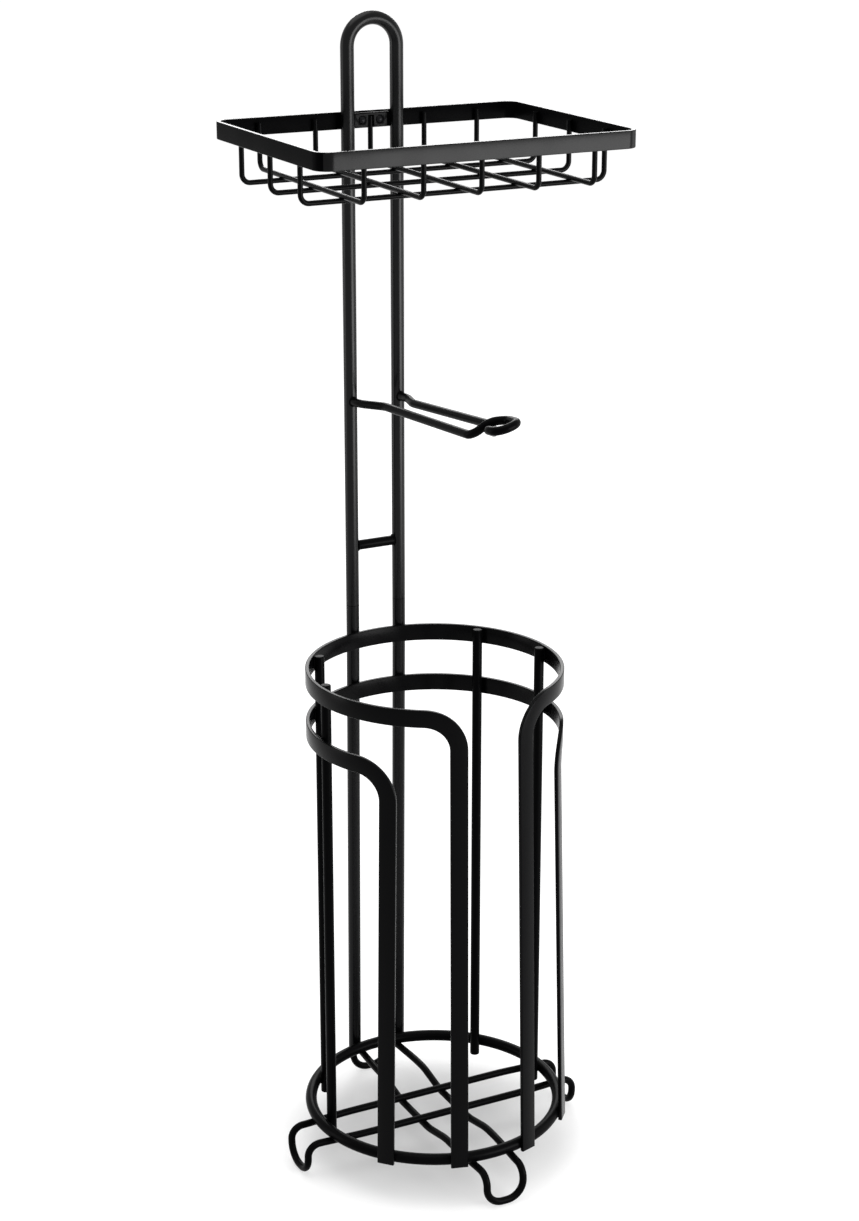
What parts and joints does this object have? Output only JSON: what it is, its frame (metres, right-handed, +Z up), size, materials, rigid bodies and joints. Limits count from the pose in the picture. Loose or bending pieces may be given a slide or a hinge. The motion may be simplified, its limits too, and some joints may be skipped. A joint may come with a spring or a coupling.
{
  "type": "toilet roll holder",
  "caption": "Free-standing black metal toilet roll holder: round open cage for spare rolls, twin-rod pole with a looped hanging arm and a wire basket near the top.",
  "frame": {"origin": "on the floor under the middle of the round base ring", "axes": "X to the right, the open front of the cage and the arm's looped end face -Y, +Z up"},
  "size_m": [0.195, 0.1894, 0.6859],
  "materials": {
    "powder_coat": "semi-gloss black powder coat",
    "screw_steel": "black-oxide steel"
  },
  "bodies": {
    "root": {"base_ring": "powder_coat", "foot_loop_side": "powder_coat", "foot_loop_front": "powder_coat", "upper_band": "powder_coat", "lower_band": "powder_coat", "side_rod_left": "powder_coat", "side_rod_right": "powder_coat", "back_rod_left": "powder_coat", "back_rod_right": "powder_coat", "leg_left": "powder_coat", "leg_right": "powder_coat", "pole": "powder_coat", "cross_bar": "powder_coat", "hanging_arm": "powder_coat", "basket_rim": "powder_coat", "basket_long_wire_1": "powder_coat", "basket_long_wire_2": "powder_coat", "basket_long_wire_3": "powder_coat", "basket_cross_wire_1": "powder_coat", "basket_cross_wire_2": "powder_coat", "basket_cross_wire_3": "powder_coat", "basket_cross_wire_4": "powder_coat", "basket_cross_wire_5": "powder_coat", "basket_bracket": "powder_coat", "joint_stud_left": "screw_steel", "joint_stud_right": "screw_steel", "basket_screw_left": "screw_steel", "basket_screw_right": "screw_steel"}
  },
  "joints": []
}
